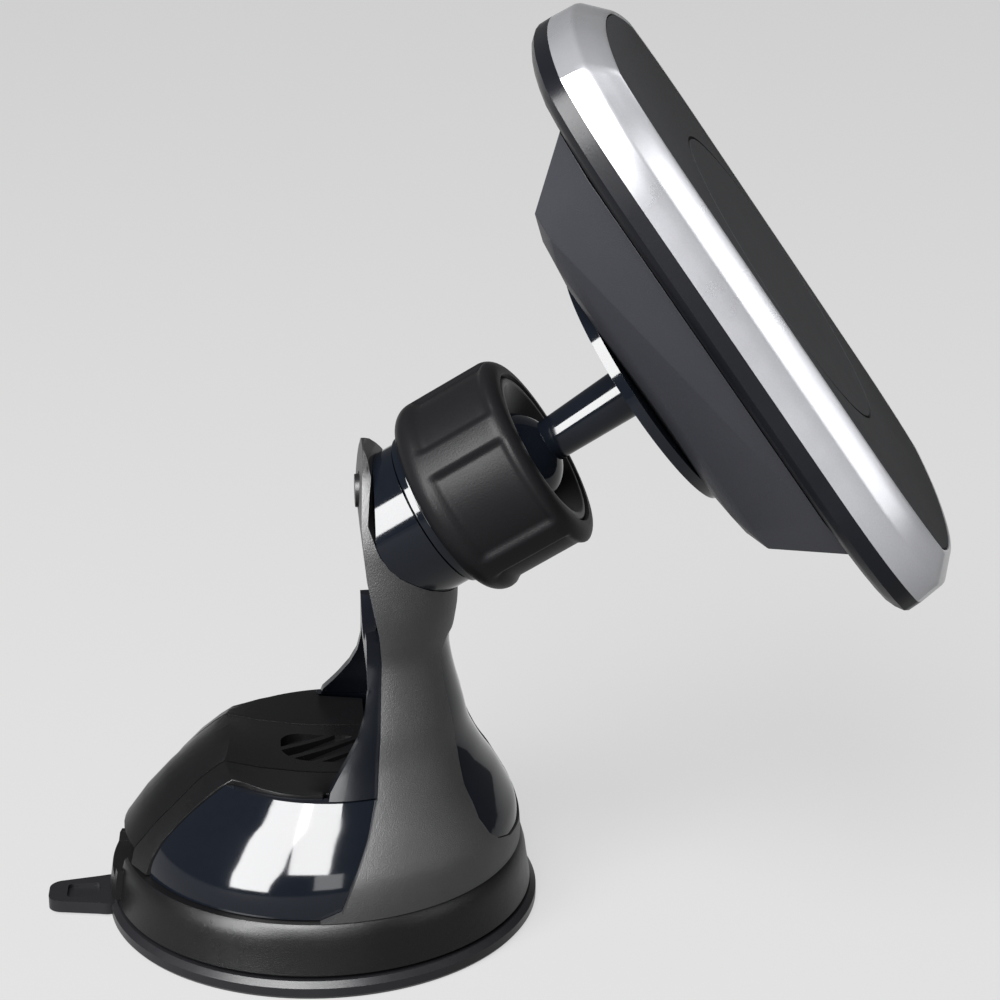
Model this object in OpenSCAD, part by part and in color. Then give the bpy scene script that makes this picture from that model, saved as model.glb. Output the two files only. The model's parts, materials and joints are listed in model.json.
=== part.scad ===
// Suction-cup car mount with a wireless charging head for a navigation phone.
// Origin: centre of the suction face. +Z is up, and the head faces +X.

/* [Base] */
// Radius of the suction lip where it meets the windscreen or dashboard
lip_r = 35; // [34:0.5:36]
// Height of the flat top of the housing ring
ring_top = 11.3; // [11.2:0.1:11.4]
// Outer radius of the housing ring at its shoulder
ring_r = 32.7; // [32.5:0.1:33]
// Length of the pull tab beyond the lip
tab_len = 10; // [6:0.5:14]
// Width of the pull tab where it leaves the lip
tab_w = 9.6; // [7:0.2:11]

/* [Lever] */
// Half the width of the lock lever
lever_half_w = 9; // [8:0.5:9]
// Turn of the lever and housing about the vertical axis, in degrees
lever_turn = 10; // [8:1:12]
// Half the width of the housing's slot for the lever and its surround
slot_half_w = 19.6; // [19.5:0.1:19.7]
// Height of the lever's hinge pin
pin_z = 17.3; // [17.2:0.1:17.4]
// Radius of the lever's hinge pin
pin_r = 1.5; // [1.3:0.1:1.6]

/* [Arm and socket] */
// Tilt of the socket barrel above horizontal, in degrees
barrel_tilt = 32; // [30:1:34]
// Outer radius of the socket barrel
barrel_r = 12.2; // [12:0.1:12.3]
// Wall of the arm's outer shell
shell_t = 1.2; // [1.1:0.1:1.3]
// Radius of the ball
ball_r = 8.5; // [8.3:0.1:8.5]
// Outer radius of the clamp knob over its ribs
knob_r = 16.3; // [16.1:0.1:16.5]
// Number of finger panels round the knob
knob_panels = 5; // [4:1:6]

/* [Head] */
// Tilt of the head's front normal above horizontal, in degrees
head_tilt = 35; // [33:1:37]
// Half the width of the rubber pad
pad_half_w = 27.8; // [27.4:0.2:28]
// Half the length of the rubber pad
pad_half_l = 46.3; // [46:0.1:46.5]
// Thickness of the rubber pad
pad_t = 1.5; // [1.2:0.1:1.8]
// Radius of the ring groove in the pad, over the charging coil
groove_r = 24.8; // [20:0.1:25]

/* [Fits] */
// Gap between pieces that are separate mouldings
gap = 0.2; // [0.15:0.05:0.25]
// Radial running clearance of pins
run = 0.05; // [0.02:0.01:0.08]

/* [Hidden] */
$fn = 72;

// Centre of the knob's mouth, on the barrel's axis
mouth = [35.98, 0, 78.19];
// Distance of the ball's centre behind the knob's mouth
ball_back = 6.44;
// Centre of the ball
ball_c = mouth - ball_back * [cos(barrel_tilt), 0, sin(barrel_tilt)];
// Distance from the ball's centre to the front face of the rubber pad
pad_reach = 51.35;
// Offset of the pad's middle from the stud's axis, measured up the plate
head_shift = 2;
// Height of the piece levels in the head, measured back from the pad's face
ridge_n = -3.3;
bezel_n = -7.1;
rim_n = -9.4;
flange_n = -26.3;
// Half size of the lever's cam, its offset from the pin and its rest direction
cam_r = 3.7;
cam_offset = 2.2;
cam_turn = 30;

// Outer surface of the arm: height, centre along X, radius
ARM = [[ring_top - 1, 0, 32.4], [ring_top + 0.1, 0, 32.4], [14, 0.2, 32.1], [17.2, 0.65, 31.2], [20, 1, 29.6],
    [22.9, 1.4, 27.6], [25, 1.8, 25.8], [27.2, 2.4, 23.9], [31, 3.6, 20.9],
    [35.5, 5, 18.4], [39, 6.3, 16.2], [42.6, 7.4, 14.3], [46, 8.2, 13.1],
    [49.5, 8.9, 13], [53, 9.3, 13.1], [57, 9.2, 13.1], [61, 9, 12.9],
    [65, 8.8, 12.6], [69, 8.4, 11.4], [72.5, 8, 9.5], [75.5, 7.9, 7], [78, 7.8, 3.2],
    [78.7, 7.8, 1.2]];
// Side view of the lever's edge and of its middle, from the tip to the inner end
LEVER_EDGE = [[-30.3, 14.2], [-26.3, 19], [-22.7, 22.6], [-19.9, 25.5], [-17.4, 27.5],
    [-15.4, 28.8], [-12.6, 28.1], [-9.8, 27.4], [-6.6, 26.9], [-3.5, 26.4], [-0.3, 26.1],
    [0.6, 26.05], [7.6, 25.8]];
LEVER_MID = [[-32.2, 14.6], [-29, 19.1], [-25, 23.4], [-20.8, 26.6], [-17.3, 28.4],
    [-14.6, 29.1], [-11.8, 28.3], [-9, 27.6], [-6.2, 27], [-3.2, 26.5], [-0.3, 26.1],
    [0.6, 26], [7.6, 25.6]];
// Outer edge of the plate beside the lever: X, height, and distance from the middle
SURROUND_EDGE = [[-28.5, 11.5, 13.6], [-27.6, 14.1, 13.6], [-25.9, 17.3, 14.1],
    [-22.6, 21.1, 14.4], [-19.4, 24.2, 14.5], [-16.2, 26.7, 14.4], [-14.2, 27.9, 14.5],
    [-12.4, 27.9, 15.6], [-9.9, 27.7, 17.6], [-6.9, 27.5, 19.3], [-3.6, 27.5, 20.4],
    [-0.2, 27.6, 20.8], [0.4, 27, 19.3], [7.6, 26.3, 19.3]];

// ---------- general shapes ----------

// A closed body through a stack of rings with equal numbers of points
module skin(rings) {
    n = len(rings[0]);
    last = (len(rings) - 1) * n;
    polyhedron([for (r = rings) each r], concat([[for (i = [0:n - 1]) i]],
        skin_sides(n, len(rings)), [[for (i = [n - 1:-1:0]) last + i]]), convexity = 6);
}

function skin_sides(n, count) = [for (j = [0:count - 2], i = [0:n - 1])
    let (a = j * n + i, b = j * n + (i + 1) % n) each [[a, a + n, b + n], [a, b + n, b]]];

// The same through plate sections that are not flat, each closed by a ladder of triangles
module plate_skin(rings) {
    n = len(rings[0]);
    last = (len(rings) - 1) * n;
    rungs = [for (i = [0:n / 2 - 2]) each [[i, i + 1, n - 2 - i], [i, n - 2 - i, n - 1 - i]]];
    polyhedron([for (r = rings) each r], concat(rungs, skin_sides(n, len(rings)),
        [for (t = rungs) [last + t[2], last + t[1], last + t[0]]]), convexity = 6);
}

function ring(z, cx, r, n = 64) =
    [for (i = [0:n - 1]) [cx + r * cos(360 * i / n), r * sin(360 * i / n), z]];

// The arm's surface moved inwards, between two heights
module arm_loft(inset, z0, z1) {
    skin([for (p = ARM) if (p[0] >= z0 - 0.01 && p[0] <= z1 + 0.01 && p[2] > inset + 0.5)
        ring(p[0], p[1], p[2] - inset)]);
}

// A side outline in X and Z, drawn out along Y
module side_prism(pts, half_w) {
    rotate([90, 0, 0]) linear_extrude(height = 2 * half_w, center = true) polygon(pts);
}

function unit(v) = v / norm(v);

// The lower side of a plate whose upper side is a line of points
function inward(pts, t) = [for (i = [0:len(pts) - 1])
    let (d = unit(pts[min(i + 1, len(pts) - 1)] - pts[max(i - 1, 0)]))
        pts[i] + t * [d[1], -d[0]]];

function reversed(v) = [for (i = [len(v) - 1:-1:0]) v[i]];

function plate_section(top, t, y) =
    [for (p = concat(top, reversed(inward(top, t)))) [p[0], y, p[1]]];

function quadratic(a, b, c, t) = a * (1 - t) * (1 - t) + 2 * b * t * (1 - t) + c * t * t;

// One quarter of the head's outline: a bowed side, a corner and a shallow end arc
function quarter(hw, hl, cs, cy) = concat(
    [for (k = [0:4]) quadratic([hl, 0], [hl, 0.62 * cy], [cs, cy], k / 5)],
    [for (k = [0:4]) quadratic([cs, cy], [0.84 * cs, hw], [0.55 * cs, hw], k / 5)],
    [[0.55 * cs, hw]]);

function outline(hw, hl, cs, cy) = let (q = quarter(hw, hl, cs, cy)) concat(q,
    [for (p = reversed(q)) [-p[0], p[1]]],
    [for (i = [1:len(q) - 1]) [-q[i][0], -q[i][1]]],
    [for (i = [len(q) - 1:-1:1]) [q[i][0], -q[i][1]]]);

function level(pts, z) = [for (p = pts) [p[0], p[1], z]];

// An eight-sided outline with chamfered corners, from x0 to x1
function chamfered(x0, x1, hw, cx, cy) = [[x1, hw - cy], [x1 - cx, hw], [x0 + cx, hw],
    [x0, hw - cy], [x0, cy - hw], [x0 + cx, -hw], [x1 - cx, -hw], [x1, cy - hw]];

// Places its children with Z along the barrel and X down across it, from the knob's mouth
module on_barrel() { translate(mouth) rotate([0, 90 - barrel_tilt, 0]) children(); }

// Places its children with Z along the stud and X down the plate, from the ball's centre
module on_stud() { translate(ball_c) rotate([0, 90 - head_tilt, 0]) children(); }

// Places its children in the lever's own directions, with X along the lever
module on_lever() { rotate(lever_turn) children(); }

// The same directions, from the middle of the pad's front face
module on_head() { on_stud() translate([-head_shift, 0, pad_reach]) children(); }

// A pan-head screw whose head sits below z = 0 and whose shank points up
module screw(r, length, head_r = 2, head_h = 1.3) {
    difference() {
        union() {
            cylinder(r = r, h = length);
            translate([0, 0, -head_h]) cylinder(r = head_r, h = head_h + 0.01);
        }
        for (a = [0, 90]) rotate(a)
            translate([0, 0, -head_h]) cube([head_r * 1.3, 0.5, 1], center = true);
    }
}

// ---------- suction base ----------

module suction_cup() {
    color("#151515") union() {
        rotate_extrude($fn = 120) polygon([[14, 3.2], [24, 2.3], [31, 0.9], [33, 0],
            [lip_r - 0.4, 0], [lip_r, 0.5], [lip_r, 1.9], [lip_r - 0.9, 2.7], [31, 2.9],
            [24, 4.1], [14, 5]]);
        pull_tab();
    }
}

module pull_tab() {
    rotate(180 + lever_turn) translate([lip_r - 1.2, 0, 0.4]) difference() {
        linear_extrude(height = 2) offset(r = 2.4) offset(r = -2.4)
            polygon([[-1, -tab_w / 2 - 1], [3, -tab_w / 2], [tab_len + 1.2, -tab_w * 0.34],
                [tab_len + 1.2, tab_w * 0.34], [3, tab_w / 2], [-1, tab_w / 2 + 1]]);
        translate([tab_len * 0.55, 0, 1.4]) linear_extrude(height = 1) offset(r = 0.9)
            square([tab_len * 0.36, tab_w * 0.3], center = true);
    }
}

module cup_centre() {
    color("#151515") translate([0, 0, 3.4]) cylinder(r1 = 12.8, r2 = 13.7, h = 1.5, $fn = 96);
}

// Flange and flat lug of the stem, with the pin's hole at the top
module lock_stem() {
    color("#d8d8d4") difference() {
        union() {
            translate([0, 0, 5]) cylinder(r = 11, h = 1.2);
            on_lever() {
                translate([-3.6, -2.7, 6]) cube([7.2, 5.4, pin_z - 6]);
                translate([0, 2.7, pin_z]) rotate([90, 0, 0]) cylinder(r = 3.6, h = 5.4);
            }
        }
        on_lever() translate([0, 5, pin_z]) rotate([90, 0, 0])
            cylinder(r = pin_r + 0.02, h = 10);
    }
}

// Return spring round the lug, swept along its helix
module stem_spring() {
    turns = 2.4;
    steps = 58;
    wire = 0.42;
    low = 6.65;
    high = 8.95;
    color("#b8bcc0") skin([for (k = [0:steps])
        let (a = 360 * turns * k / steps, z = low + (high - low) * k / steps)
            [for (i = [0:7]) let (b = -45 * i)
                [(7.5 + wire * cos(b)) * cos(a), (7.5 + wire * cos(b)) * sin(a),
                    z + wire * sin(b)]]]);
}

// Textured ring that presses on the cup, with the finger notch at the lever's tip
module base_ring() {
    color("#1b1b1c") difference() {
        union() {
            rotate_extrude($fn = 120) polygon([[30.3, 3.1], [33.6, 3.1], [34, 3.5],
                [33.6, 6], [33.2, 9], [ring_r, ring_top - 0.5], [ring_r - 0.5, ring_top],
                [28, ring_top], [28, 9.85], [30.3, 9.85]]);
            intersection() {
                translate([0, 0, 4.4]) cylinder(r1 = 34.9, r2 = 34.1, h = 5, $fn = 120);
                on_lever() translate([-36, -notch_half_w - 1.4, 0])
                    cube([6, 2 * notch_half_w + 2.8, 20]);
            }
        }
        on_lever() translate([-36, -notch_half_w, 7.8]) cube([4.6, 2 * notch_half_w, 10]);
    }
}

notch_half_w = 6.5;

// Web of the housing: the cam's track, with a slot for the stem and a step under the ring
module guide_plate() {
    color("#242426") difference() {
        rotate_extrude($fn = 96) polygon([[0, 9.4], [20, 9.4], [20, 8.3], [30.1, 8.3],
            [30.1, 9.8], [27.8, 9.8], [27.8, ring_top - 0.05], [0, ring_top - 0.05]]);
        on_lever() translate([-3.7, -2.8, 5]) cube([7.4, 5.6, 10]);
        for (p = arm_holes) translate([p[0], p[1], 5]) {
            cylinder(r = 1.3, h = 10);
            cylinder(r = 2.2, h = screw_seat_z - 5);
        }
    }
}

// Places of the screws that hold the dome to the plate, and the height of their seats
arm_holes = [[24, -9], [24, 9], [9, -24], [9, 24]];
screw_seat_z = 9.35;

// ---------- lock lever and its surround ----------

function blend_line(a, b, f) = [for (i = [0:len(a) - 1]) a[i] + f * (b[i] - a[i])];

// Plate either side of the lever, with a skirt along its outer edge
module lever_surround() {
    inner = [for (p = concat([[-30.9, 11.5]], LEVER_EDGE)) [p[0], p[1], lever_half_w + 0.4]];
    color("#1b1b1c") on_lever() for (side = [0, 1]) mirror([0, side, 0])
        plate_skin([for (k = [[0, 1.6], [0.45, 1.6], [0.84, 1.6], [0.9, 2.4], [1, 2.4]])
            let (top = blend_line(inner, SURROUND_EDGE, k[0]),
                low = inward([for (p = top) [p[0], p[1]]], k[1]), n = len(top))
                concat([for (p = top) [p[0], p[2], p[1]]],
                    [for (i = [n - 1:-1:0]) [low[i][0], top[i][2], max(low[i][1], top[0][1])]])]);
}

// Crowned lever cover, ruled from edge to edge, with an oval ribbed recess
module lock_lever() {
    color("#1b1b1c") on_lever() difference() {
        plate_skin([for (k = [-4:4]) let (y = lever_half_w * k / 4)
            plate_section(blend_line(LEVER_EDGE, LEVER_MID, 1 - k * k / 16), 2, y)]);
        translate([0.4, 0, 25.2]) linear_extrude(height = 3) difference() {
            offset(r = 4) square([5.8, 2.4], center = true);
            for (k = [-1:1]) rotate(-50) translate([k * 3.2, 0]) square([1, 20], center = true);
        }
    }
}

// Twin cams under the lever, turning on the pin and riding on the guide plate
module lever_cam() {
    color("#d8d8d4") on_lever() difference() {
        union() for (side = [-1, 1]) translate([0, side * 4.2 + 1.2, pin_z])
            rotate([90, 0, 0]) {
                translate(cam_offset * [-sin(cam_turn), -cos(cam_turn), 0])
                    cylinder(r = cam_r, h = 2.4);
                cylinder(r = 3.5, h = 2.4);
                linear_extrude(height = 2.4)
                    polygon([[-3.5, 0], [3.5, 0], [3.5, 23.65 - pin_z], [-3.5, 24.15 - pin_z]]);
            }
        translate([0, 8, pin_z]) rotate([90, 0, 0]) cylinder(r = pin_r + run, h = 16);
    }
}

module lever_pin() {
    color("#b8bcc0") on_lever() translate([0, 5.8, pin_z]) rotate([90, 0, 0])
        cylinder(r = pin_r, h = 11.6);
}

// ---------- dome, arm and socket ----------

// Glossy dome, open at its top, with the slot for the lever and its surround
module dome_cover() {
    low = ring_top + 0.15;
    top = 27.05;
    color("#0b0b0d") difference() {
        intersection() {
            arm_loft(shell_t + gap, 0, 31);
            translate([-40, -40, low]) cube([80, 80, top - low]);
        }
        difference() {
            arm_loft(shell_t + gap + 2, 0, 35.5);
            for (p = arm_holes) translate([p[0], p[1], 0]) cylinder(r = 3.6, h = 17);
        }
        for (p = arm_holes) translate([p[0], p[1], 0]) cylinder(r = 1.25, h = 16);
        housing_slot(8.2);
    }
}

// Opening behind the arm for the lever and its surround, as far forward as x
module housing_slot(x) {
    side = concat([[-40, 13.9]], [for (p = SURROUND_EDGE) if (p[0] < 0) [p[0], p[2] + 0.3]],
        [[0.2, slot_half_w]]);
    on_lever() {
        translate([-1, -slot_half_w, 0]) cube([1 + x, 2 * slot_half_w, 60]);
        linear_extrude(height = 60)
            polygon(concat(side, [for (p = reversed(side)) [p[0], -p[1]]]));
    }
}

// Where the hood's back stands, the barrel's uncut length and the height of the rear cap
hood_x = 6.9;
barrel_len = 38;
cap_z = 70;
// Back line of the glossy core and of the textured shell, from low to high
CORE_BACK = [[0.6, 27.3], [0.9, 28.4], [2.1, 30.1], [3.6, 32.2], [5.4, 35], [6.6, 38],
    [7.2, 41.5], [7.2, 50]];
SHELL_BACK = [[-1.3, 11.45], [2, 12.8], [4, 17.2], [6.6, 22.9], [8.1, 27.7], [8.9, 35.5],
    [9.3, 42.6], [9.5, 46], [9.2, 50.6], [8.4, 54.6], [7.4, 60], [7, 64.6], [6.8, 68.5],
    [7, 72.4], [7.4, 77.7], [7.5, 80]];
// Front line of the shell's hood, below and behind the barrel
HOOD_FRONT = [[7.9, 80], [8.1, 78.4], [9.2, 76.8], [9.9, 75], [9.9, 68.5], [11.8, 63.7],
    [14.8, 60.1], [19, 57.2], [23, 55.4], [45, 55.4], [45, 80]];
// Half width of the shell's front window, from low to high
WINDOW = [[0, 14.6], [7, 15.2], [11.2, 16.6], [12.9, 18.4], [13.2, 21], [11.3, 25.7],
    [8.2, 30.5], [7.2, 33.4], [6.2, 39.7], [4.9, 46], [3.2, 48], [0, 48.6]];

// Everything in front of a back line
module ahead_of(line) {
    on_lever() side_prism(concat(line, [[60, line[len(line) - 1][1]], [60, line[0][1]]]), 45);
}

// Hollow glossy column between the dome and the hood, open at the back over the lever
module arm_core() {
    niche_x = 9.3;
    niche_top = 44;
    color("#0b0b0d") difference() {
        intersection() {
            arm_loft(shell_t + gap, 25, 49.5);
            ahead_of(CORE_BACK);
        }
        difference() {
            arm_loft(shell_t + gap + 2, 25, 46);
            on_lever() translate([niche_x, -30, 20]) cube([2, 60, 40]);
            on_lever() translate([niche_x - 30, -30, niche_top]) cube([31, 60, 10]);
        }
        on_barrel() translate([0, 0, -barrel_len - 10])
            cylinder(r = barrel_r + 0.3, h = 40, $fn = 96);
    }
}

function mirrored(pts) = concat(pts, [for (p = reversed(pts)) [-p[0], p[1]]]);

// Opening in the shell's front, drawn forwards along X
module front_window(inset) {
    rotate([90, 0, 90]) linear_extrude(height = 60) offset(delta = -inset)
        polygon(mirrored(WINDOW));
}

// Glossy inlay that fills the shell's front window
module front_inlay() {
    color("#0b0b0d") intersection() {
        difference() {
            arm_loft(0.3, ring_top, 50);
            arm_loft(shell_t, 0, 53);
        }
        front_window(0.15);
    }
}

// Textured outer shell: a saddle over the base that rises into a hood for the barrel
module arm_shell() {
    color("#1f1f20") difference() {
        intersection() {
            arm_loft(0, ring_top, 79);
            ahead_of(SHELL_BACK);
        }
        arm_loft(shell_t, 0, 49.5);
        side_prism(HOOD_FRONT, 20);
        intersection() {
            on_barrel() translate([0, 0, -barrel_len]) cylinder(r = barrel_r + 0.05, h = 60, $fn = 96);
            on_lever() translate([hood_x + 1.95, -30, 40]) cube([60, 60, 60]);
        }
        on_lever() translate([hood_x - 3, 0, cap_z]) rotate([0, 90, 0])
            cylinder(r = 3.1, h = 4.6);
        front_window(0);
    }
}

module arm_screws() {
    color("#9a9da1") for (p = arm_holes) translate([p[0], p[1], screw_seat_z - 0.05])
        screw(1.2, 6);
}

// Domed plug over the screw that holds the barrel in the hood
module rear_cap() {
    color("#141415") on_lever() translate([hood_x - 0.6, 0, cap_z]) rotate([0, 90, 0])
        cylinder(r1 = 2.6, r2 = 3, h = 2.1);
}

// Barrel with its collar, smooth thread neck and the pocket for the ball's cup
module socket_barrel() {
    color("#0b0b0d") difference() {
        on_barrel() difference() {
            union() {
                translate([0, 0, -barrel_len])
                    cylinder(r = barrel_r, h = barrel_len - 20.2, $fn = 96);
                translate([0, 0, -barrel_len]) cylinder(r = 11.1, h = barrel_len - 7.8, $fn = 96);
            }
            translate([0, 0, -16.5]) cylinder(r = 10.5, h = 20, $fn = 96);
            translate([0, 0, -24]) cylinder(r = 8, h = 6);
        }
        on_lever() translate([hood_x + 2 - 60, -30, 40]) cube([60, 60, 60]);
    }
}

// Split cup that grips the ball
module ball_cup() {
    color("#2a2a2c") on_barrel() difference() {
        translate([0, 0, -16.3]) cylinder(r = 10.4, h = 11.4, $fn = 96);
        translate([0, 0, -ball_back]) sphere(r = ball_r + 0.3, $fn = 96);
        for (a = [0:60:150]) rotate(a)
            translate([0, 0, -8]) cube([30, 0.8, 9], center = true);
        translate([0, 0, -20]) cylinder(r = 3, h = 10);
    }
}

// Thin glossy washer between the barrel and the knob
module slip_ring() {
    color("#0b0b0d") on_barrel() translate([0, 0, -19.9]) difference() {
        cylinder(r = 12.8, h = 1.4, $fn = 96);
        translate([0, 0, -1]) cylinder(r = 11.25, h = 4, $fn = 96);
    }
}

// Hard nut of the knob: bore over the neck, clamping lip and bell mouth
module clamp_nut() {
    color("#131314") on_barrel() rotate_extrude($fn = 96) polygon([[11.4, -18.2],
        [12.9, -18.2], [12.9, -0.6], [12.3, 0], [11.44, 0], [8.3, -3], [8.3, -3.6],
        [10.7, -4.5], [10.7, -7.4], [11.4, -7.6]]);
}

// Soft sleeve with shallow finger panels between narrow ribs
module knob_grip() {
    panel_turn = -91;
    panel_half_angle = 28;
    color("#1a1a1b") on_barrel() difference() {
        rotate_extrude($fn = 112) polygon(concat([[13, -18.3]],
            [for (a = [-84:14:0]) [knob_r - 3.1 + 3.1 * cos(a), -15.2 + 3.1 * sin(a)]],
            [for (a = [0:14:84]) [knob_r - 2.8 + 2.8 * cos(a), -2.6 + 2.8 * sin(a)]],
            [[13, 0.2]]));
        for (k = [0:knob_panels - 1]) rotate(360 * k / knob_panels + panel_turn)
            intersection() {
                rotate_extrude($fn = 112) polygon([[15.5, -3.2], [15.5, -13], [15.8, -14],
                    [16.6, -14.6], [19, -14.8], [19, -0.6], [16.4, -1], [15.8, -1.8]]);
                linear_extrude(height = 40, center = true) polygon([[0, 0],
                    [25, -25 * tan(panel_half_angle)], [25, 25 * tan(panel_half_angle)]]);
            }
    }
}

// Steel core that the stud turns about
module stud_core() {
    color("#b8bcc0") on_stud() translate([0, 0, -4]) cylinder(r = 1.5, h = 24);
}

// Ball, tapered stud and round flange in one moulding
module ball_stud() {
    flange_z = pad_reach + flange_n;
    color("#0b0b0d") on_stud() difference() {
        union() {
            sphere(r = ball_r, $fn = 96);
            cylinder(r1 = 3.1, r2 = 4.1, h = flange_z + 0.5, $fn = 48);
            translate([0, 0, flange_z]) cylinder(r = 21, h = 1.6, $fn = 96);
            for (a = flange_holes) rotate(a) translate([13, 0, flange_z])
                cylinder(r = 2.4, h = 4.9);
        }
        translate([0, 0, -4.1]) cylinder(r = 1.5 + run, h = 24.2);
        for (a = flange_holes) rotate(a) translate([13, 0, flange_z + 0.8])
            cylinder(r = 1, h = 10);
    }
}

flange_holes = [45, 135, 225, 315];

module flange_screws() {
    color("#9a9da1") on_stud() for (a = flange_holes) rotate(a)
        translate([13, 0, pad_reach + flange_n + 5]) mirror([0, 0, 1]) screw(0.95, 4);
}

// ---------- charging head ----------

// Faceted rear box, hollow, open to the front
module rear_box() {
    wall = 1.8;
    floor_n = flange_n + 1.65;
    color("#26272a") on_head() difference() {
        skin([level(chamfered(-23, 22, 16, 4, 3), floor_n),
            level(chamfered(-27, 26, 19.4, 4, 2.4), floor_n + 1.1),
            level(chamfered(-31.5, 28.9, 22.2, 4, 1.6), -21.55),
            level(chamfered(-39.6, 34.8, 28.3, 7.4, 3.4), -11.4)]);
        skin([level(chamfered(-25, 24, 17, 4, 3), floor_n + 2),
            level(chamfered(-31.5 + wall, 28.9 - wall, 22.2 - wall, 4, 1.6), -21.2),
            level(chamfered(-39.6 + wall, 34.8 - wall, 28.3 - wall, 7.4, 3.4), -10.4)]);
        translate([head_shift, 0, 0]) for (a = flange_holes) rotate(a)
            translate([13, 0, floor_n - 5]) cylinder(r = 2.5, h = 12);
        translate([24, -4.75, board_n + 1.05]) cube([14, 9.5, 3.6]);
    }
}

// Black rim tray between the box and the bezel
module back_rim() {
    color("#161617") on_head() difference() {
        skin([level(outline(30.4, 49.3, 43.6, 24.4), rim_n - 1.6),
            level(outline(31.6, 50.4, 44.8, 25.4), rim_n - 0.9),
            level(outline(32.4, 51.1, 45.8, 26.2), rim_n),
            level(outline(32.1, 51, 45.7, 26.1), bezel_n)]);
        translate([0, 0, rim_n + 0.4]) linear_extrude(height = 10)
            polygon(outline(29.8, 48.6, 43.2, 24.2));
        skin([level(chamfered(-39.8, 35, 28.5, 7.4, 3.4), rim_n - 3),
            level(chamfered(-39.8, 35, 28.5, 7.4, 3.4), rim_n + 2)]);
        tray_screw_places() translate([0, 0, -20]) cylinder(r = 1, h = 30);
    }
    color("#161617") on_head() tray_screw_places() translate([0, 0, rim_n])
        difference() {
            cylinder(r = 2.3, h = -3.05 - rim_n);
            translate([0, 0, 1]) cylinder(r = 1, h = 10);
        }
}

module tray_screw_places() {
    for (p = [[-42, -11], [-42, 11], [41.5, -13], [41.5, 13]]) translate(p) children();
}

// Two-facet metallic bezel
module silver_bezel() {
    color("#c9cacd") on_head() difference() {
        skin([level(outline(32.1, 51, 45.7, 26.1), bezel_n + 0.02),
            level(outline(31.1, 50.6, 45.2, 25.6), ridge_n),
            level(outline(pad_half_w + 0.6, pad_half_l + 0.6, 41.8, 24.9), 0)]);
        translate([0, 0, -pad_t - 0.05]) linear_extrude(height = 4)
            polygon(outline(pad_half_w + 0.1, pad_half_l + 0.1, 41.3, 24.5));
        translate([0, 0, bezel_n - 1]) linear_extrude(height = 10)
            polygon(outline(pad_half_w - 1.4, pad_half_l - 1.4, 39.9, 23.1));
        translate([0, 0, bezel_n - 1]) linear_extrude(height = 4.6)
            polygon(outline(pad_half_w + 1.2, pad_half_l + 1.4, 42.4, 25));
    }
}

// Tray behind the pad that carries the coil, its shield and the magnets
module coil_tray() {
    color("#2c2d30") on_head() difference() {
        union() {
            translate([0, 0, -pad_t - 1.35]) linear_extrude(height = 1.3)
                polygon(outline(pad_half_w - 1.6, pad_half_l - 1.6, 39.7, 22.9));
            for (p = magnet_places) translate([p[0], p[1], -5.6]) cylinder(r = 6.2, h = 3);
        }
        for (p = magnet_places) translate([p[0], p[1], -6]) cylinder(r = 5.1, h = 3.1);
        tray_screw_places() translate([0, 0, -10]) cylinder(r = 1.1, h = 12);
        tray_screw_places() translate([0, 0, -2.3]) cylinder(r = 2.2, h = 2);
    }
}

magnet_places = [[-33.5, -7.5], [-33.5, 7.5], [33.5, -7.5], [33.5, 7.5]];

module front_pad() {
    color("#3b3c3e") on_head() difference() {
        translate([0, 0, -pad_t]) linear_extrude(height = pad_t)
            polygon(outline(pad_half_w, pad_half_l, 41.2, 24.4));
        translate([0, 0, -0.5]) difference() {
            cylinder(r = groove_r + 0.25, h = 1, $fn = 120);
            translate([0, 0, -1]) cylinder(r = groove_r - 0.25, h = 3, $fn = 120);
        }
    }
}

// Flat spiral coil, drawn as its round turns side by side
module charging_coil() {
    color("#b5703a") on_head() translate([0, 0, -3.6]) rotate_extrude($fn = 96)
        union() for (r = [10.4:1.05:21.2]) translate([r, 0]) circle(r = 0.56, $fn = 16);
}

module ferrite_sheet() {
    color("#3a3a3f") on_head() translate([-23, -23, -5.1]) cube([46, 46, 0.8]);
}

// Two leads from the coil's edge down to the circuit board
module coil_leads() {
    color("#c23b2a") on_head() for (s = [-3, 3]) translate([s, 0, 0]) {
        translate([0, 20, board_n + 1.3]) cylinder(r = 0.4, h = -5.6 - board_n - 1.3, $fn = 20);
        translate([0, 24.4, -5.6]) rotate([90, 0, 0]) cylinder(r = 0.4, h = 4.4, $fn = 20);
    }
}

module holding_magnets() {
    color("#a9adb2") on_head() for (p = magnet_places)
        translate([p[0], p[1], -5.4]) cylinder(r = 5, h = 2.4);
}

board_n = -17.6;
board_posts = [[-22, 0], [20, 13]];

module circuit_board() {
    color("#1f5c3a") on_head() difference() {
        translate([-26, -17, board_n]) cube([52.5, 38, 1.2]);
        for (p = board_posts) translate([p[0], p[1], board_n - 1]) cylinder(r = 1.1, h = 4);
        translate([head_shift, 0, 0]) for (a = flange_holes) rotate(a)
            translate([13, 0, board_n - 1]) cylinder(r = 2.6, h = 4);
    }
}

// Driver chip, inductor and capacitors on the board
module board_chips() {
    color("#303236") on_head() translate([0, 0, board_n + 1.25]) {
        translate([-16, -12, 0]) cube([7, 7, 1]);
        translate([-16, 3, 0]) cube([10, 10, 3.6]);
        for (k = [0:3]) translate([-3 + 2.8 * k, -14, 0]) cube([1.6, 3.2, 1.4]);
        translate([15, -10, 0]) cylinder(r = 3, h = 4.5);
    }
}

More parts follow.
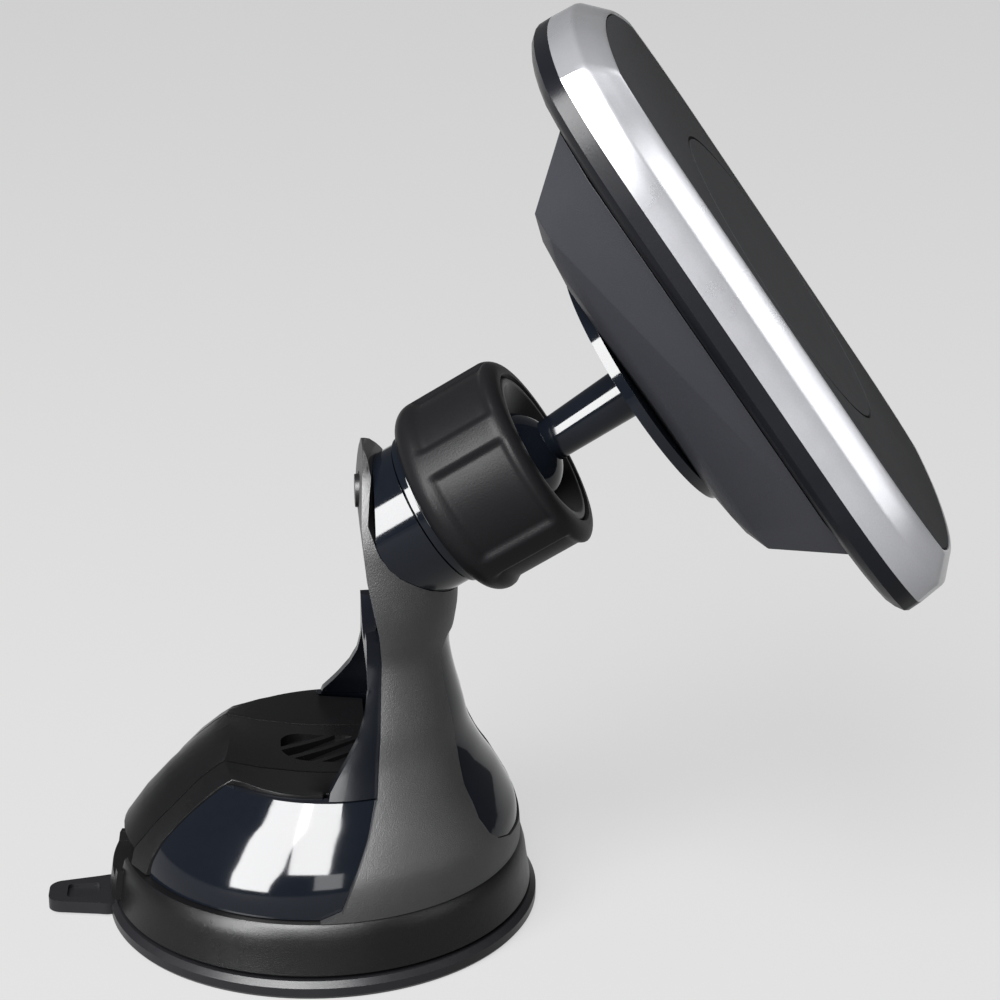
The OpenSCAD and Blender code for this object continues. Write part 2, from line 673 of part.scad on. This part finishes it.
// Receptacle for the power lead, facing out of the head's lower end
module usb_socket() {
    color("#b8bcc0") on_head() translate([25, 0, board_n + 1.25 + 1.65]) rotate([0, 90, 0])
        difference() {
            linear_extrude(height = 7.3) offset(r = 1.5) square([0.2, 6], center = true);
            translate([0, 0, 0.8]) linear_extrude(height = 9) difference() {
                offset(r = 1.25) square([0.2, 6], center = true);
                square([0.7, 6.2], center = true);
            }
        }
}

module board_screws() {
    color("#9a9da1") on_head() for (p = board_posts)
        translate([p[0], p[1], board_n + 1.25]) mirror([0, 0, 1]) screw(1, 3.4, 1.9, 1.1);
}

module tray_screws() {
    color("#9a9da1") on_head() tray_screw_places() translate([0, 0, -2.25])
        mirror([0, 0, 1]) screw(0.95, 5.2, 1.8, 0.65);
}

suction_cup();
cup_centre();
lock_stem();
stem_spring();
base_ring();
guide_plate();
lever_surround();
dome_cover();
lock_lever();
lever_cam();
lever_pin();
arm_core();
front_inlay();
arm_shell();
arm_screws();
rear_cap();
socket_barrel();
ball_cup();
slip_ring();
clamp_nut();
knob_grip();
stud_core();
ball_stud();
flange_screws();
rear_box();
back_rim();
silver_bezel();
coil_tray();
front_pad();
charging_coil();
ferrite_sheet();
coil_leads();
holding_magnets();
circuit_board();
board_chips();
usb_socket();
board_screws();
tray_screws();
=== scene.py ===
"""Suction-cup phone mount: finishes, fine pieces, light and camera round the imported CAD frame."""
import json
import math

import bmesh
import bpy
from mathutils import Matrix, Vector


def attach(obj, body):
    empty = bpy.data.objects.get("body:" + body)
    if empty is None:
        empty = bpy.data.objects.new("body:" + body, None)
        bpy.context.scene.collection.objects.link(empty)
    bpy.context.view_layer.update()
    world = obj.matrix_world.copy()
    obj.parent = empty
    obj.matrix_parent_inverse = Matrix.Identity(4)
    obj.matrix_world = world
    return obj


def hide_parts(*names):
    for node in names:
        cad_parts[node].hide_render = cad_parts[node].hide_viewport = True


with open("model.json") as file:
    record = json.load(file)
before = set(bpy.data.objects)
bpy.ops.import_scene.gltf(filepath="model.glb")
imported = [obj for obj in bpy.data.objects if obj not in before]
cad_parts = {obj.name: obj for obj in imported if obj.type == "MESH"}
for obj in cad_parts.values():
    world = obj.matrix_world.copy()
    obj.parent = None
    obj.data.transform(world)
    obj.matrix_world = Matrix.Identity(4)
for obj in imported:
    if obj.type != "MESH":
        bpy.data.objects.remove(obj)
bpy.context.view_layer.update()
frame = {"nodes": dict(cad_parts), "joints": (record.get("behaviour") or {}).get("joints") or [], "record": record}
nodes = frame["nodes"]


# ---------- materials ----------

PLAIN_MOTTLE_SCALE = 260.0
GLOSS_SCALE = 55.0


def material(name, colour, rough, metallic=0.0, grain=None, depth=0.0, mottle=0.12,
             rough_spread=0.05, coat=0.0, coat_rough=0.08, specular=0.5, smudge=0.0,
             tint=None):
    """A moulded, painted or metal finish: mottled colour, uneven gloss and a fine relief.

    grain is the relief's noise scale per metre and depth its height in metres. The colour
    runs from colour to tint, spread apart by mottle. smudge roughens the duller patches.
    """
    m = bpy.data.materials.new(name)
    m.use_nodes = True
    tree = m.node_tree
    make, link = tree.nodes.new, tree.links.new
    shader = tree.nodes["Principled BSDF"]
    shader.inputs["Metallic"].default_value = metallic
    shader.inputs["Coat Weight"].default_value = coat
    shader.inputs["Coat Roughness"].default_value = coat_rough
    shader.inputs["Specular IOR Level"].default_value = specular
    place = make("ShaderNodeTexCoord").outputs["Object"]

    def noise(scale, detail=3.0, roughness=0.55):
        n = make("ShaderNodeTexNoise")
        n.inputs["Scale"].default_value = scale
        n.inputs["Detail"].default_value = detail
        n.inputs["Roughness"].default_value = roughness
        link(place, n.inputs["Vector"])
        return n.outputs["Fac"]

    tone = make("ShaderNodeMix")
    tone.data_type = "RGBA"
    light = [min(1.0, c * (1 + mottle)) for c in (tint or colour)]
    dark = [c * (1 - mottle) for c in colour]
    tone.inputs["A"].default_value = (*dark, 1)
    tone.inputs["B"].default_value = (*light, 1)
    link(noise(0.8 * grain if grain else PLAIN_MOTTLE_SCALE, 4.0), tone.inputs["Factor"])
    link(tone.outputs["Result"], shader.inputs["Base Color"])

    gloss = make("ShaderNodeMapRange")
    gloss.inputs["From Min"].default_value = 0.3
    gloss.inputs["From Max"].default_value = 0.7
    gloss.inputs["To Min"].default_value = max(0.0, rough - rough_spread)
    gloss.inputs["To Max"].default_value = min(1.0, rough + rough_spread + smudge)
    link(noise(GLOSS_SCALE, 5.0, 0.6), gloss.inputs["Value"])
    link(gloss.outputs["Result"], shader.inputs["Roughness"])

    if grain:
        relief = make("ShaderNodeBump")
        relief.inputs["Strength"].default_value = 1.0
        relief.inputs["Distance"].default_value = depth
        link(noise(grain, 2.0, 0.6), relief.inputs["Height"])
        link(relief.outputs["Normal"], shader.inputs["Normal"])
    return m


TEXTURED = material("textured_black_plastic", (0.0014, 0.0014, 0.0016), 0.45, grain=5600,
                    depth=0.00006, mottle=0.45, tint=(0.0024, 0.0024, 0.0026), specular=0.36)
# The same textured plastic as the arm's shell, copied darker for the ring, lever and surround: its halved colour
# is painted shade where they sit in shadow.
SHADED_TEXTURED = material("textured_black_plastic_painted_shade", (0.0007, 0.0007, 0.0008), 0.31, grain=6000,
                 depth=0.000035, mottle=0.40, tint=(0.0012, 0.0012, 0.0013), specular=0.12)
GLOSS = material("gloss_black_plastic", (0.001, 0.0013, 0.002), 0.06, grain=900,
                 depth=0.000001, rough_spread=0.02, smudge=0.03, specular=0.2)
COLUMN = material("polished_black_plastic", (0.001, 0.0012, 0.0017), 0.22, grain=900,
                  depth=0.000001, rough_spread=0.03, specular=0.06)
SOFT = material("soft_touch_black", (0.0018, 0.0018, 0.002), 0.40, grain=3400,
                depth=0.00003, mottle=0.18, specular=0.048)
CUP = material("cup_rubber", (0.0022, 0.0022, 0.0026), 0.34, grain=1500, depth=0.00001,
               mottle=0.15, specular=0.16)
HARD = material("satin_black_plastic", (0.002, 0.002, 0.0022), 0.34, grain=3000,
                depth=0.00002, mottle=0.15, specular=0.14)
RIM = material("rim_black_plastic", (0.0013, 0.0014, 0.0019), 0.30, grain=3000,
               depth=0.000012, mottle=0.12, specular=0.09)
CHARCOAL = material("satin_charcoal_plastic", (0.0062, 0.0064, 0.0077), 0.44, grain=4800,
                    depth=0.00003, mottle=0.15, specular=0.13)
SILVER = material("silver_paint", (0.19, 0.192, 0.202), 0.30, metallic=0.8, grain=5200,
                  depth=0.00001, mottle=0.10, coat=0.2, coat_rough=0.18)
PAD = material("pad_rubber", (0.009, 0.0092, 0.0098), 0.80, grain=3600, depth=0.00005,
               mottle=0.16, specular=0.06)
ACETAL = material("white_acetal", (0.16, 0.16, 0.152), 0.42, grain=1500, depth=0.00001,
                  mottle=0.04)
STEEL = material("zinc_steel", (0.30, 0.305, 0.315), 0.30, metallic=1.0, grain=2400,
                 depth=0.00001, mottle=0.08)
SPRING = material("spring_wire", (0.28, 0.285, 0.295), 0.24, metallic=1.0, grain=3000,
                  depth=0.000006, mottle=0.08)
COPPER = material("enamelled_copper", (0.32, 0.14, 0.05), 0.28, metallic=1.0, grain=2600,
                  depth=0.00001, mottle=0.14, coat=0.6)
FERRITE = material("ferrite", (0.012, 0.012, 0.013), 0.55, grain=2200, depth=0.00004)
LEAD = material("lead_insulation", (0.13, 0.013, 0.009), 0.38, grain=1800, depth=0.00001)
NICKEL = material("nickel_plate", (0.34, 0.33, 0.31), 0.16, metallic=1.0, grain=1800,
                  depth=0.000004, mottle=0.05)
BOARD = material("solder_mask", (0.006, 0.04, 0.018), 0.26, grain=1400, depth=0.00002,
                 mottle=0.18, coat=0.3)
CHIP = material("moulded_epoxy", (0.005, 0.005, 0.0053), 0.50, grain=2800, depth=0.00002)

FINISHES = {
    "suction_cup": CUP, "cup_centre": CUP, "lock_stem": ACETAL, "stem_spring": SPRING,
    # base_ring, lever_surround and lock_lever take the darker copy of the textured plastic, painted shade.
    "base_ring": SHADED_TEXTURED, "guide_plate": HARD, "lever_surround": SHADED_TEXTURED,
    "dome_cover": GLOSS, "lock_lever": SHADED_TEXTURED, "lever_cam": ACETAL, "lever_pin": STEEL,
    "arm_core": COLUMN, "front_inlay": GLOSS, "arm_shell": TEXTURED, "arm_screws": STEEL,
    "rear_cap": HARD, "socket_barrel": GLOSS, "ball_cup": HARD, "slip_ring": GLOSS,
    "clamp_nut": HARD, "knob_grip": SOFT, "stud_core": STEEL, "ball_stud": GLOSS,
    "flange_screws": STEEL, "rear_box": CHARCOAL, "back_rim": RIM, "silver_bezel": SILVER,
    "coil_tray": HARD, "front_pad": PAD, "charging_coil": COPPER, "ferrite_sheet": FERRITE,
    "coil_leads": LEAD, "holding_magnets": NICKEL, "circuit_board": BOARD,
    "board_chips": CHIP, "usb_socket": STEEL, "board_screws": STEEL, "tray_screws": STEEL,
}
# Width of the moulded edge rounding on the nodes that show, in metres
EDGES = {
    "suction_cup": 0.0003, "base_ring": 0.0005, "lever_surround": 0.0006,
    "dome_cover": 0.00025, "lock_lever": 0.0006, "arm_core": 0.00025, "front_inlay": 0.0002,
    "arm_shell": 0.0003, "rear_cap": 0.0003, "socket_barrel": 0.0002, "slip_ring": 0.0003,
    "clamp_nut": 0.0003, "ball_stud": 0.0004, "rear_box": 0.0008, "back_rim": 0.0004,
    "silver_bezel": 0.0003, "front_pad": 0.0003,
}


SHARP = 32      # edges that turn by more degrees than this are edges, the rest is smooth
WELD = 0.000002


def split_sharp(obj, degrees=SHARP):
    """Shades a piece smooth up to its sharp edges."""
    split = obj.modifiers.new("split", "EDGE_SPLIT")
    split.split_angle = math.radians(degrees)


def soften(obj, width):
    """Rounds a piece's sharp edges and shades the rest of it smooth."""
    if width:
        bevel = obj.modifiers.new("edge", "BEVEL")
        bevel.width = width
        bevel.segments = 2
        bevel.limit_method = "ANGLE"
        bevel.angle_limit = math.radians(SHARP)
        bevel.harden_normals = True
        bevel.use_clamp_overlap = True
    split_sharp(obj)


def shade_smooth(mesh, finish):
    """Gives a mesh one finish and lets modifiers decide which of its edges are sharp."""
    mesh.materials.clear()
    mesh.materials.append(finish)
    if "custom_normal" in mesh.attributes:
        mesh.attributes.remove(mesh.attributes["custom_normal"])
    mesh.polygons.foreach_set("use_smooth", [True] * len(mesh.polygons))


def dress(name):
    """Gives a CAD node its finish, smooth shading and softly rounded edges."""
    obj = nodes[name]
    shade_smooth(obj.data, FINISHES[name])
    weld = obj.modifiers.new("weld", "WELD")
    weld.merge_threshold = WELD
    soften(obj, EDGES.get(name))


for node in nodes:
    dress(node)

# ---------- fine pieces ----------

def smooth_step(low, high, x):
    t = max(0.0, min(1.0, (x - low) / (high - low)))
    return t * t * (3 - 2 * t)


def mesh_piece(name, points, faces, finish, body):
    """A new smooth-shaded piece that rides on a body."""
    mesh = bpy.data.meshes.new(name)
    mesh.from_pydata(points, [], faces)
    mesh.validate()
    shade_smooth(mesh, finish)
    obj = bpy.data.objects.new(name, mesh)
    bpy.context.scene.collection.objects.link(obj)
    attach(obj, body)
    return obj


# Barrel axis and the direction down across it, from the knob's turning joint
TURN = next(j for j in frame["joints"] if j["name"] == "knob_turn")
MOUTH = Vector(TURN["pos_m"])
ALONG = Vector(TURN["axis"]).normalized()
ACROSS = Vector((ALONG.z, 0, -ALONG.x))
SIDE = Vector((0, 1, 0))


def round_barrel(radius, angle, along):
    """A point at a radius, an angle in degrees and a distance along the barrel, in mm."""
    a = math.radians(angle)
    return MOUTH + 0.001 * (along * ALONG + radius * (math.cos(a) * ACROSS
                                                      + math.sin(a) * SIDE))


def arc(centre_r, centre_u, r, start, stop, step=7):
    """Points (radius, distance along) of an arc in the barrel's section, in degrees."""
    return [(centre_r + r * math.cos(math.radians(a)), centre_u + r * math.sin(math.radians(a)))
            for a in range(start, stop, step)]


def knob_sleeve():
    """Soft sleeve: a rounded ring with finger panels pressed softly into it."""
    outer, inner, panel, rear, front = 16.3, 13.0, 15.45, -18.3, 0.2
    rear_round, front_round, lead_in = 3.1, 2.8, 0.1
    rear_u, front_u = -15.2, -2.6
    panels, panel_turn = 5, 91
    straight, bore = 20, 6
    profile = [(inner, rear), (inner + lead_in, rear)]
    profile += arc(outer - rear_round, rear_u, rear_round, -84, 1)
    profile += [(outer, rear_u + (front_u - rear_u) * k / straight) for k in range(1, straight)]
    profile += arc(outer - front_round, front_u, front_round, 0, 85)
    profile += [(inner + lead_in, front), (inner, front)]
    profile += [(inner, front + (rear - front) * k / bore) for k in range(1, bore)]
    around = 360
    points = []
    for i in range(around):
        angle = 360.0 * i / around
        nearest = min(abs((angle + panel_turn - 360 / panels * k + 180) % 360 - 180)
                      for k in range(panels))
        wide = 1 - smooth_step(25.0, 30.0, nearest)
        for radius, u in profile:
            if radius > panel:
                deep = wide * smooth_step(-15.0, -13.2, u) * (1 - smooth_step(-2.6, -0.9, u))
                radius -= (radius - panel) * deep
            points.append(round_barrel(radius, angle, u))
    n = len(profile)
    faces = [(i * n + j, i * n + (j + 1) % n, (i + 1) % around * n + (j + 1) % n,
              (i + 1) % around * n + j) for i in range(around) for j in range(n)]
    sleeve = mesh_piece("knob_sleeve", points, faces, SOFT, "knob")
    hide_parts("knob_grip")


knob_sleeve()

# Outer surface of the arm: height, centre along X and radius, in mm
ARM = ((10.3, 0, 32.4), (11.4, 0, 32.4), (14, 0.2, 32.1), (17.2, 0.65, 31.2),
       (20, 1, 29.6), (22.9, 1.4, 27.6), (25, 1.8, 25.8), (27.2, 2.4, 23.9), (31, 3.6, 20.9),
       (35.5, 5, 18.4), (39, 6.3, 16.2), (42.6, 7.4, 14.3), (46, 8.2, 13.1), (49.5, 8.9, 13),
       (53, 9.3, 13.1), (57, 9.2, 13.1), (61, 9, 12.9), (65, 8.8, 12.6), (69, 8.4, 11.4),
       (72.5, 8, 9.5), (75.5, 7.9, 7), (78, 7.8, 3.2), (78.7, 7.8, 1.2))


def arm_at(z, column):
    """Centre or radius of the arm at a height, on a smooth curve through its levels."""
    k = max(1, min(len(ARM) - 3, next((i for i in range(1, len(ARM)) if ARM[i][0] > z),
                                      len(ARM) - 1) - 1))
    (z0, a), (z1, b), (z2, c), (z3, d) = [(ARM[i][0], ARM[i][column])
                                          for i in (k - 1, k, k + 1, k + 2)]
    t = (z - z1) / (z2 - z1)
    m1, m2 = (c - a) / (z2 - z0) * (z2 - z1), (d - b) / (z3 - z1) * (z2 - z1)
    return ((2 * t ** 3 - 3 * t ** 2 + 1) * b + (t ** 3 - 2 * t ** 2 + t) * m1
            + (3 * t ** 2 - 2 * t ** 3) * c + (t ** 3 - t ** 2) * m2)


LONGEST_EDGE = 0.0015
SKIN_REACH = 0.22   # how far a facet may lie off the smooth surface and still be skin, in mm
SKIN_FROM, SKIN_TO = 11.4, 76


def fine_loft(node, inset):
    """A finer copy of a node whose outer skin follows the arm's smooth surface."""
    shape = bmesh.new()
    shape.from_mesh(nodes[node].data)
    bmesh.ops.remove_doubles(shape, verts=shape.verts, dist=WELD)
    for _ in range(3):
        edges = [e for e in shape.edges if e.calc_length() > LONGEST_EDGE]
        if not edges:
            break
        bmesh.ops.subdivide_edges(shape, edges=edges, cuts=1)
        bmesh.ops.triangulate(shape, faces=[f for f in shape.faces if len(f.verts) > 3])
    for v in shape.verts:
        x, y, z = (1000 * c for c in v.co)
        if not SKIN_FROM < z < SKIN_TO:
            continue
        dx = x - arm_at(z, 1)
        reach = math.hypot(dx, y)
        target = arm_at(z, 2) - inset
        if reach > 1 and abs(target - reach) < SKIN_REACH:
            v.co.x = 0.001 * (x - dx + dx * target / reach)
            v.co.y = 0.001 * y * target / reach
    mesh = bpy.data.meshes.new(node + "_fine")
    shape.to_mesh(mesh)
    shape.free()
    shade_smooth(mesh, FINISHES[node])
    obj = bpy.data.objects.new(node + "_fine", mesh)
    bpy.context.scene.collection.objects.link(obj)
    soften(obj, EDGES[node])
    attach(obj, "base")
    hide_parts(node)


# How far inside the arm's surface each skin lies, in mm
SKINS = {"dome_cover": 1.4, "arm_core": 1.4, "arm_shell": 0.0, "front_inlay": 0.3}
for node, inset in SKINS.items():
    fine_loft(node, inset)

# ---------- head: bezel and pad ----------

FACE = next(m for m in frame["record"]["mounts"] if m["name"] == "charging_face")
FACE_AT = Vector(FACE["pos_m"])
FACE_OUT = Vector(FACE["axis"]).normalized()
FACE_DOWN = Vector((FACE_OUT.z, 0, -FACE_OUT.x))


def on_face(x, y, height):
    """A point down the plate, across it and out of its front face, in mm."""
    return FACE_AT + 0.001 * (x * FACE_DOWN + y * SIDE + height * FACE_OUT)


def quadratic(a, b, c, t):
    return tuple(p * (1 - t) ** 2 + 2 * q * t * (1 - t) + r * t * t
                 for p, q, r in zip(a, b, c))


def outline(half_w, half_l, corner_x, corner_y, steps=18):
    """The head's outline: bowed sides, corners and shallow end arcs."""
    quarter = [quadratic((half_l, 0), (half_l, 0.62 * corner_y), (corner_x, corner_y),
                         k / steps) for k in range(steps)]
    quarter += [quadratic((corner_x, corner_y), (0.84 * corner_x, half_w),
                          (0.55 * corner_x, half_w), k / steps) for k in range(steps)]
    quarter += [(0.55 * corner_x * (1 - k / 4), half_w) for k in range(4)]
    half = quarter + [(0, half_w)] + [(-x, y) for x, y in reversed(quarter)]
    return half + [(x, -y) for x, y in reversed(half[1:-1])]


def between(a, b, t):
    return tuple(p + (q - p) * t for p, q in zip(a, b))


def ring_piece(name, node, levels, finish, closed=True, caps=False):
    """A piece swept through outlines: each level is (outline sizes, height)."""
    rings = [[on_face(x, y, height) for x, y in outline(*sizes)] for sizes, height in levels]
    n = len(rings[0])
    points = [p for ring in rings for p in ring]
    count = len(rings)
    faces = [(j * n + i, j * n + (i + 1) % n, (j + 1) % count * n + (i + 1) % n,
              (j + 1) % count * n + i)
             for j in range(count if closed else count - 1) for i in range(n)]
    if caps:
        faces += [tuple(reversed(range(n))), tuple((count - 1) * n + i for i in range(n))]
    piece = mesh_piece(name, points, faces, finish, "head")
    shape = bmesh.new()
    shape.from_mesh(piece.data)
    bmesh.ops.recalc_face_normals(shape, faces=shape.faces)
    shape.to_mesh(piece.data)
    shape.free()
    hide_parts(node)
    return piece


# Outlines of the bezel: half width, half length, and the corner's place along and across
FOOT, RIDGE, FRONT = (32.1, 51, 45.7, 26.1), (31.1, 50.6, 45.2, 25.6), (28.4, 46.9, 41.8, 24.9)
SEAT, INSIDE, SHELF = (27.9, 46.4, 41.3, 24.5), (26.4, 44.9, 39.9, 23.1), (29, 47.7, 42.4, 25)
bezel = ring_piece("bezel_fine", "silver_bezel", [
    (FOOT, -7.08), (between(FOOT, RIDGE, 0.04), -6.9),
    (between(FOOT, RIDGE, 0.5), -5.2),
    (between(FOOT, RIDGE, 0.93), -3.55), (between(RIDGE, FRONT, 0.04), -3.2),
    (between(RIDGE, FRONT, 0.12), -2.92), (between(RIDGE, FRONT, 0.5), -1.66),
    (between(RIDGE, FRONT, 0.93), -0.22), (between(FRONT, SEAT, 0.25), -0.02),
    (between(FRONT, SEAT, 0.8), -0.03), (SEAT, -0.25), (SEAT, -1.5),
    (INSIDE, -1.55), (INSIDE, -3.4), (SHELF, -3.5), (SHELF, -7.08)],
    SILVER)
split_sharp(bezel, 24)

PAD_EDGE = (27.8, 46.3, 41.2, 24.4)


def pad_size(inset):
    return tuple(size - inset for size in PAD_EDGE)


pad = ring_piece("pad_fine", "front_pad", [
    (pad_size(0.3), -1.5), (pad_size(0), -1.3), (pad_size(0), -0.35), (pad_size(0.12), -0.1),
    (pad_size(0.35), 0)], PAD, closed=False, caps=True)


def ring_groove(piece, radius, width, depth):
    """Cuts the round groove over the coil into the pad's face."""
    around, above = 180, 0.4
    tool = bmesh.new()
    section = [(radius - width / 2, above), (radius - width / 2, -depth * 0.6),
               (radius - width / 4, -depth), (radius + width / 4, -depth),
               (radius + width / 2, -depth * 0.6), (radius + width / 2, above)]
    rings = [[tool.verts.new(on_face(r * math.cos(2 * math.pi * i / around),
                                     r * math.sin(2 * math.pi * i / around), h))
              for r, h in section] for i in range(around)]
    for i in range(around):
        a, b = rings[i], rings[(i + 1) % around]
        for j in range(len(section)):
            k = (j + 1) % len(section)
            tool.faces.new((a[j], a[k], b[k], b[j]))
    bmesh.ops.recalc_face_normals(tool, faces=tool.faces)
    mesh = bpy.data.meshes.new("groove_tool")
    tool.to_mesh(mesh)
    tool.free()
    cutter = bpy.data.objects.new("groove_tool", mesh)
    bpy.context.scene.collection.objects.link(cutter)
    cut = piece.modifiers.new("groove", "BOOLEAN")
    cut.object = cutter
    cut.operation = "DIFFERENCE"
    cut.solver = "EXACT"
    bpy.context.view_layer.update()
    graph = bpy.context.evaluated_depsgraph_get()
    made = bpy.data.meshes.new_from_object(piece.evaluated_get(graph))
    piece.modifiers.clear()
    piece.data = made
    bpy.data.objects.remove(cutter)
    split_sharp(piece, 28)


ring_groove(pad, radius=24.8, width=0.5, depth=0.5)

# ---------- camera ----------

CAMERA_AT = Vector((0.05755, -0.36425, 0.19337))
LOOK_AT = Vector((0.02918, 0.0, 0.06941))
eye = bpy.data.cameras.new("camera")
eye.lens = 89.05
eye.sensor_width = 36.0
eye.clip_start = 0.01
camera = bpy.data.objects.new("camera", eye)
camera.location = CAMERA_AT
camera.rotation_mode = "QUATERNION"
camera.rotation_quaternion = (LOOK_AT - CAMERA_AT).to_track_quat("-Z", "Y")
bpy.context.scene.collection.objects.link(camera)
bpy.context.scene.camera = camera

# ---------- light and floor ----------

MIDDLE = Vector((0.02, 0.0, 0.07))


def softbox(name, azimuth, elevation, distance, width, height, power):
    """An area light aimed at the object. Azimuth 0 is in front, 90 is on the +X side."""
    a, e = math.radians(azimuth), math.radians(elevation)
    data = bpy.data.lights.new(name, "AREA")
    data.shape = "RECTANGLE"
    data.size, data.size_y = width, height
    data.energy = power
    obj = bpy.data.objects.new(name, data)
    obj.location = MIDDLE + distance * Vector((math.sin(a) * math.cos(e),
                                               -math.cos(a) * math.cos(e), math.sin(e)))
    obj.rotation_euler = (MIDDLE - obj.location).to_track_quat("-Z", "Y").to_euler()
    bpy.context.scene.collection.objects.link(obj)


softbox("key", -37, 30, 1.0, 0.46, 1.15, 90)
softbox("upper", -5, 48, 1.0, 0.42, 0.79, 56)
softbox("low", 8, 14, 1.0, 0.28, 0.42, 3.4)
softbox("side", 71, 22, 1.0, 0.36, 0.55, 4.2)
softbox("rim", 120, 50, 1.2, 0.5, 0.5, 3)

world = bpy.data.worlds.new("studio")
world.use_nodes = True
bpy.context.scene.world = world
sky = world.node_tree.nodes["Background"]
sky.inputs["Color"].default_value = (1, 1, 1, 1)
sky.inputs["Strength"].default_value = 0.14
bpy.context.scene.view_settings.view_transform = "Standard"

floor_mesh = bpy.data.meshes.new("floor")
shape = bmesh.new()
bmesh.ops.create_grid(shape, x_segments=1, y_segments=1, size=9.0)
shape.to_mesh(floor_mesh)
shape.free()
floor = bpy.data.objects.new("floor", floor_mesh)
floor.location = (0, 0, -0.00005)
bpy.context.scene.collection.objects.link(floor)
pale = material("pale_floor", (0.02, 0.02, 0.02), 0.9, mottle=0.01, specular=0.02)
glow = pale.node_tree.nodes["Principled BSDF"]
glow.inputs["Emission Color"].default_value = (1, 1, 1, 1)
glow.inputs["Emission Strength"].default_value = 0.60
floor_mesh.materials.append(pale)
